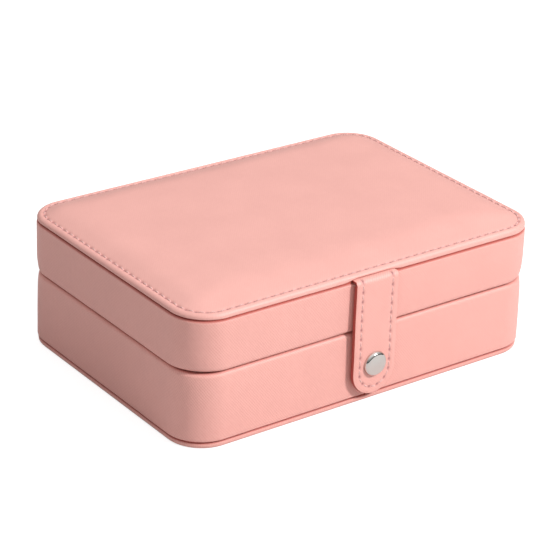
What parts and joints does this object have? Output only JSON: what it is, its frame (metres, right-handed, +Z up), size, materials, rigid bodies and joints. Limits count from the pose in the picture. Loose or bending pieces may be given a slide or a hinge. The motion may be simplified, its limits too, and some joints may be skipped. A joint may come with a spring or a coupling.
{
  "type": "jewellery case",
  "caption": "Rounded rectangular case with a padded hinged lid, a front strap with a snap, ring rolls, dividers, hooks and a pocket inside.",
  "frame": {"origin": "on the surface that the case stands on, at the middle of the case's outline", "axes": "+X to the right along the width, -Y out of the front with the strap, +Z up"},
  "size_m": [0.165, 0.1238, 0.0563],
  "materials": {
    "pink_leather": "cross-grained pink synthetic leather, satin",
    "lining_leather": "smooth pink leather",
    "board": "grey board",
    "velvet": "short velvet",
    "foam": "foam",
    "satin": "gathered satin",
    "elastic": "ribbed elastic",
    "nickel": "polished nickel",
    "gold_metal": "polished"
  },
  "bodies": {
    "tray": {"bottom_cover": "lining_leather", "bottom_board": "board", "tray_wall": "board", "tray_leather": "pink_leather", "tray_floor": "velvet", "tray_lining": "velvet", "ring_foam": "foam", "ring_roll_1": "velvet", "ring_roll_2": "velvet", "ring_roll_3": "velvet", "ring_roll_4": "velvet", "ring_roll_5": "velvet", "ring_roll_6": "velvet", "ring_roll_7": "velvet", "section_wall": "velvet", "divider_guides": "velvet", "snap_stud": "nickel", "stud_rivet": "nickel", "hinge_tray_leaf": "pink_leather"},
    "lid": {"lid_wall": "board", "lid_leather": "pink_leather", "lid_board": "board", "top_pad": "foam", "top_cover": "pink_leather", "lid_ceiling": "velvet", "lid_lining": "velvet", "hook_rail": "velvet", "necklace_hook_1": "gold_metal", "necklace_hook_2": "gold_metal", "necklace_hook_3": "gold_metal", "necklace_hook_4": "gold_metal", "necklace_hook_5": "gold_metal", "pocket_panel": "satin", "pocket_elastic": "elastic", "hinge_lid_leaf": "pink_leather", "strap_root": "pink_leather"},
    "strap": {"strap_front": "pink_leather", "strap_back": "lining_leather", "snap_cap": "nickel", "snap_socket": "nickel", "snap_spring": "gold_metal"},
    "front_divider": {"front_divider": "velvet"},
    "rear_divider": {"rear_divider": "velvet"}
  },
  "joints": [
    {"name": "lid_hinge", "type": "hinge", "parent": "tray", "child": "lid", "pos_m": [0, 0.0592, 0.0306], "axis": [-1, 0, 0], "range_deg": [0, 105]},
    {"name": "strap_swing", "type": "hinge", "parent": "lid", "child": "strap", "pos_m": [-0.0008, -0.0596, 0.05165], "axis": [-1, 0, 0], "range_deg": [0, 135]},
    {"name": "front_divider_lift", "type": "slide", "parent": "tray", "child": "front_divider", "axis": [0, 0, 1], "range_m": [0, 0.017]},
    {"name": "rear_divider_lift", "type": "slide", "parent": "tray", "child": "rear_divider", "axis": [0, 0, 1], "range_m": [0, 0.017]}
  ]
}
